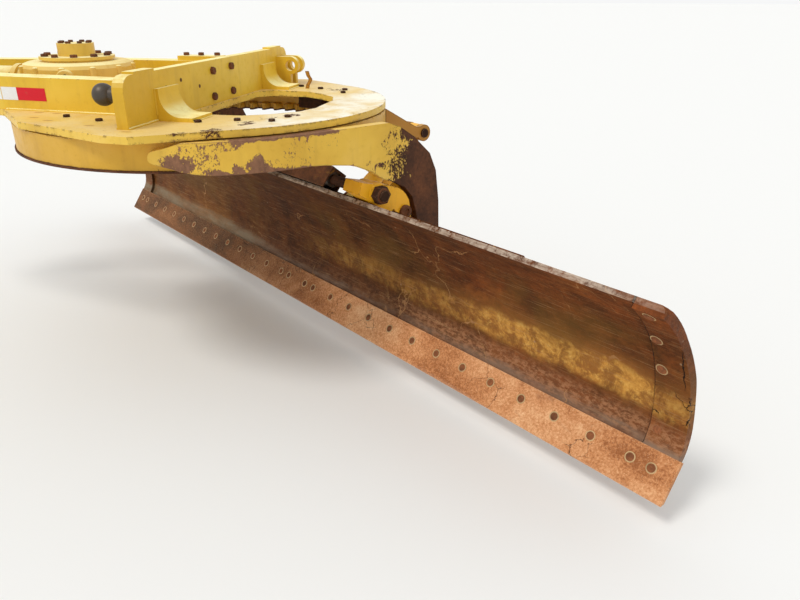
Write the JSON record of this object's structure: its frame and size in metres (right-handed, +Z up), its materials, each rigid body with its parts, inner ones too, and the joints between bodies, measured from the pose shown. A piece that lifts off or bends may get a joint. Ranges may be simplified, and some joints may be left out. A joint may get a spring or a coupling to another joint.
{
  "type": "motor grader blade assembly",
  "caption": "Blade group of a motor grader: A-shaped drawbar, toothed circle that turns, hinged tip frame and a long curved moldboard with bolted cutting edges.",
  "frame": {"origin": "centre of the drawbar's front ball", "axes": "+X forward along the machine, +Y to the left, +Z up, with the drawbar plate level and the blade turned as pictured"},
  "size_m": [4.0804, 2.7429, 1.2424],
  "materials": {
    "yellow_paint": "faded satin",
    "rusty_paint": "rusty matt",
    "dark_steel": "dull",
    "bright_rod": "polished",
    "worn_blade": "scoured rust",
    "edge_steel": "scoured rust"
  },
  "bodies": {
    "drawbar": {"drawbar_plate": "yellow_paint", "beams": "yellow_paint", "nose": "yellow_paint", "lift_plate": "yellow_paint", "front_ball": "dark_steel", "lift_studs": "dark_steel", "centre_shift_eye": "yellow_paint", "drive_housing": "yellow_paint", "drive_cap": "yellow_paint", "drive_motor": "dark_steel", "guide_shoes": "rusty_paint"},
    "pinion": {"pinion": "dark_steel"},
    "circle": {"circle_ring": "rusty_paint", "arm_near": "rusty_paint", "arm_far": "rusty_paint", "ram_ears": "rusty_paint", "tip_pins": "dark_steel"},
    "tip_frame": {"bracket_near": "yellow_paint", "bracket_far": "yellow_paint", "cross_tube": "rusty_paint", "side_shift_rod": "bright_rod"},
    "moldboard": {"moldboard": "worn_blade", "edge_near": "edge_steel", "edge_far": "edge_steel", "end_plate_near": "worn_blade", "end_plate_far": "worn_blade", "side_shift_barrel": "dark_steel", "side_shift_cover": "rusty_paint"},
    "ram_barrel": {"ram_barrel": "yellow_paint"},
    "ram_rod": {"ram_rod": "bright_rod"}
  },
  "joints": [
    {"name": "circle_turn", "type": "hinge", "parent": "drawbar", "child": "circle", "pos_m": [-2.05, 0, -0.051], "axis": [0, 0, 1], "continuous": true},
    {"name": "pinion_turn", "type": "hinge", "parent": "drawbar", "child": "pinion", "pos_m": [-1.483, 0, -0.051], "axis": [0, 0, 1], "continuous": true},
    {"name": "blade_tip", "type": "hinge", "parent": "circle", "child": "tip_frame", "pos_m": [-2.45021, -0.53109, -0.852], "axis": [-0.7986, 0.6018, 0], "range_deg": [-1, 38]},
    {"name": "side_shift", "type": "slide", "parent": "tip_frame", "child": "moldboard", "axis": [0.7986, -0.6018, 0], "range_m": [-0.18, 0.62]},
    {"name": "ram_swing", "type": "hinge", "parent": "circle", "child": "ram_barrel", "pos_m": [-2.88313, -0.40771, -0.221], "axis": [-0.7986, 0.6018, 0], "range_deg": [-1, 4]},
    {"name": "ram_extend", "type": "slide", "parent": "ram_barrel", "child": "ram_rod", "axis": [0.4841, 0.6425, -0.594], "range_m": [-0.008, 0.267]}
  ],
  "couplings": [
    {"joint": "pinion_turn", "follows": "circle_turn", "ratio": 6.4},
    {"joint": "ram_swing", "follows": "blade_tip", "ratio": 0.095},
    {"joint": "ram_extend", "follows": "blade_tip", "m_per_rad": 0.40137}
  ]
}
